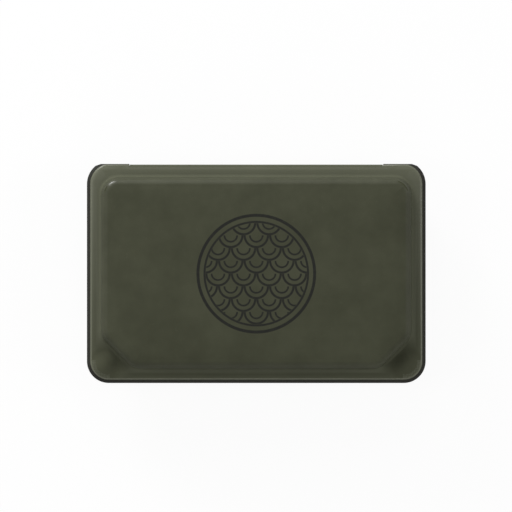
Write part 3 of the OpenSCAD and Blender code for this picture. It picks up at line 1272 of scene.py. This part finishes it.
@dataclass(frozen=True)
class FoldingSpine:
    """The spine: a strip of skin and lining between two creases, and the linings' tongues."""

    materials: Materials
    fold_steps: int = 10
    along_steps: int = 28
    crease_flat: float = 0.608
    crease_lean: float = 0.28
    crease_worn: float = 0.5
    knit_inner_r: float = 0.06

    def strip(self, section: Sequence[tuple[float, float]]) -> BMesh:
        """Draws a closed section along the hinge, and divides its sides evenly.

        Args:
            section: Its points of y and z or y and height, in order.

        Returns:
            The strip's mesh.
        """
        bm, width = bmesh.new(), SIZES.hinge_w
        verts = [bm.verts.new((-width / 2, y, z)) for y, z in section]
        face = bmesh.ops.contextual_create(bm, geom=verts)["faces"][0]
        extrude(bm, [face], (width, 0, 0))
        for step in range(1, self.along_steps):
            bisect(bm, bm.faces, (width * (step / self.along_steps - 0.5), 0, 0), (1, 0, 0))
        return bm

    def fold(self, inner: float, outer: float) -> BMesh:
        """Spins a crease's wall a quarter turn, a little flattened by the rim's roll.

        Args:
            inner: Its inner radius.
            outer: Its outer radius.

        Returns:
            The crease's mesh, in the half's frame.
        """
        s, bm = SIZES, bmesh.new()
        wear_and_painted_light = bm.verts.layers.float.new("wear_and_painted_light")
        ends = [bm.verts.new((-s.hinge_w / 2, s.fold_y + r, s.fold_h)) for r in (inner, outer)]
        edge = bm.edges.new(ends)
        bmesh.ops.spin(
            bm, geom=[edge, *ends], cent=(-s.hinge_w / 2, s.fold_y, s.fold_h), axis=(1, 0, 0),
            dvec=(0, 0, 0), angle=math.pi / 2, steps=self.fold_steps,
            use_merge=False, use_duplicate=False,
        )
        extrude(bm, list(bm.faces), (s.hinge_w, 0, 0))
        for vert in bm.verts:
            rise, away = vert.co.z - s.fold_h, vert.co.y - s.fold_y
            vert.co.z = s.fold_h + rise * (self.crease_flat - self.crease_lean * away)
            vert[wear_and_painted_light] = self.crease_worn
        return bm

    def tongue(self) -> BMesh:
        """Makes the knit that lines the groove at the hinge, in the half's frame."""
        s = SIZES
        low, mid, top, groove = s.rim_bottom, s.rim_bottom + s.lining_t, s.rim_top - s.skin_t, s.groove_y
        section = [
            (groove, low), (groove, mid), (groove + 0.06, mid + 0.25), (groove + 0.1, top - 0.3),
            (groove + 0.2, top), (s.fold_y - 0.05, top), (s.fold_y - 0.05, top - s.lining_t + 0.06),
            (groove + 0.62, top - s.lining_t), (groove + 0.5, top - 0.75),
            (groove + 0.36, mid + 0.1), (groove + 0.18, low + 0.05),
        ]
        return self.strip([(y, z - s.roll(0, y) * min(1, max(0, z - mid))) for y, z in section])

    def build(self) -> None:
        """Makes the spine, its creases and the tongues of lining."""
        s, look = SIZES, self.materials
        metres = Matrix.Diagonal((MM, MM, MM, 1.0))
        low, high = s.half_h - s.fold_h + s.crease_gap, s.half_h + s.fold_h - s.crease_gap
        back, face = s.spine_back, s.spine_back - s.skin_t
        cover = self.strip([(face, low), (back, low), (back, s.half_h), (back, high), (face, high)])
        Piece("spine_coated_skin", "spine", "skin", look.skin, ("spine_skin",)).place(cover, metres)
        knit = self.strip([(s.fold_y, low), (face, low), (face, high), (s.fold_y, high)])
        Piece("spine_knit_lining", "spine", "lining", look.lining, ("spine_lining",)).place(knit, metres)
        for half in Half:
            name, placing = half.value, half.placing
            joined = [
                (name, placing @ Vector((0, s.fold_y, s.fold_h + s.fold_r))),
                ("spine", placing @ Vector((0, s.fold_y + s.fold_r, s.fold_h))),
            ]
            if half is Half.LID:
                joined.reverse()
            (first, start), (second, end) = joined
            bent = {"bends_to": second, "bend": (start, end)}
            crease = self.fold(s.fold_r - s.skin_t, s.fold_r)
            Piece(f"{name}_crease_skin", first, "skin", look.skin, (f"{name}_crease",), **bent).place(
                crease, placing,
            )
            lined = self.fold(self.knit_inner_r, s.fold_r - s.skin_t)
            Piece(f"{name}_crease_knit", first, "lining", look.lining, **bent).place(lined, placing)
            Piece(f"{name}_groove_knit", name, "lining", look.lining).place(self.tongue(), placing)


# ---- The studio ----------------------------------------------------------------------------


@dataclass(frozen=True)
class Lamp:
    """An area lamp: where it stands, its size, its power and what it looks at."""

    name: str
    place: tuple[float, float, float]
    size: tuple[float, float]
    watts: float
    aim: tuple[float, float, float] = (0.0, 0.0, 0.02)

    def build(self) -> None:
        """Makes the lamp."""
        data = bpy.data.lights.new(self.name, "AREA")
        data.shape, data.size, data.size_y, data.energy = "RECTANGLE", *self.size, self.watts
        made = bpy.data.objects.new(self.name, data)
        made.location = self.place
        made.rotation_mode = "QUATERNION"
        made.rotation_quaternion = (Vector(self.aim) - Vector(self.place)).to_track_quat("-Z", "Y")
        bpy.context.scene.collection.objects.link(made)


@dataclass(frozen=True)
class Studio:
    """A pale floor, a low key lamp behind on the left, four soft boxes, a camera above."""

    lens_mm: float = 300.0
    sensor_mm: float = 36.0
    view_mm: float = 226.8
    look_at: tuple[float, float] = (-0.13, 7.75)
    world: float = 0.25
    floor_size: float = 20.0
    paper: float = 0.9
    glow: float = 0.93
    lamps: tuple[Lamp, ...] = (
        Lamp("key", (-0.65, 1.08, 0.38), (0.5, 0.5), 15.0),
        Lamp("box_hinge_side", (0.0, 1.05, 0.8), (0.8, 0.5), 4.3),
        Lamp("box_left", (-0.92, 0.0, 0.92), (0.5, 0.5), 3.7),
        Lamp("box_right", (1.06, 0.0, 0.75), (0.5, 0.5), 4.5),
        Lamp("box_front", (0.0, -1.06, 0.75), (0.8, 0.5), 2.5),
    )

    def build(self) -> None:
        """Makes the floor, the world, the lamps and the camera."""
        self.floor()
        self.sky()
        for lamp in self.lamps:
            lamp.build()
        self.camera()
        bpy.context.scene.view_settings.view_transform = "Standard"

    def camera(self) -> None:
        """Makes the camera, straight above the case."""
        data = bpy.data.cameras.new("camera")
        data.lens, data.sensor_width = self.lens_mm, self.sensor_mm
        data.clip_start, data.clip_end = 0.1, 60.0
        made = bpy.data.objects.new("camera", data)
        away = self.view_mm * self.lens_mm / self.sensor_mm
        made.location = Vector((*self.look_at, away + SIZES.half_h)) * MM
        bpy.context.scene.collection.objects.link(made)
        bpy.context.scene.camera = made

    def floor(self) -> None:
        """Makes the floor, which the camera sees as white with the case's soft shadow."""
        bm = bmesh.new()
        bmesh.ops.create_grid(bm, x_segments=2, y_segments=2, size=self.floor_size)
        mesh = bpy.data.meshes.new("floor")
        bm.to_mesh(mesh)
        bm.free()
        made = bpy.data.objects.new("floor", mesh)
        bpy.context.scene.collection.objects.link(made)
        material = bpy.data.materials.new("matt_white_paper")
        material.use_nodes = True
        tree = material.node_tree
        tree.nodes.clear()
        paper = add(tree, "BsdfDiffuse", {"Color": (self.paper, self.paper, self.paper, 1.0)})
        white = add(tree, "Emission", {"Color": WHITE, "Strength": 1.0})
        path = add(tree, "LightPath").outputs
        seen = path["Is Camera Ray"]
        for ray in ("Is Glossy Ray", "Is Transmission Ray"):
            seen = add(tree, "Math", {0: seen, 1: path[ray]}, operation="MAXIMUM").outputs[0]
        share = add(tree, "Math", {0: seen, 1: self.glow}, operation="MULTIPLY").outputs[0]
        mixed = add(tree, "MixShader", {0: share, 1: paper.outputs[0], 2: white.outputs[0]})
        add(tree, "OutputMaterial", {"Surface": mixed.outputs[0]})
        mesh.materials.append(material)

    def sky(self) -> None:
        """Makes the even light that comes from all round."""
        world = bpy.data.worlds.new("world")
        world.use_nodes = True
        feed(world.node_tree.nodes["Background"], {"Color": WHITE, "Strength": self.world})
        bpy.context.scene.world = world


def main() -> None:
    """Builds the case and its studio."""
    logging.basicConfig(level=logging.INFO, format="%(name)s: %(message)s")
    materials = Materials()
    for half in Half:
        shell = PressedShell(half, materials)
        shell.build()
        Magnets(half, materials).build()
        FoamInsert(half, materials, shell).build()
    FoldingSpine(materials).build()
    Studio().build()
    bpy.context.view_layer.update()


if __name__ == "__main__":
    main()
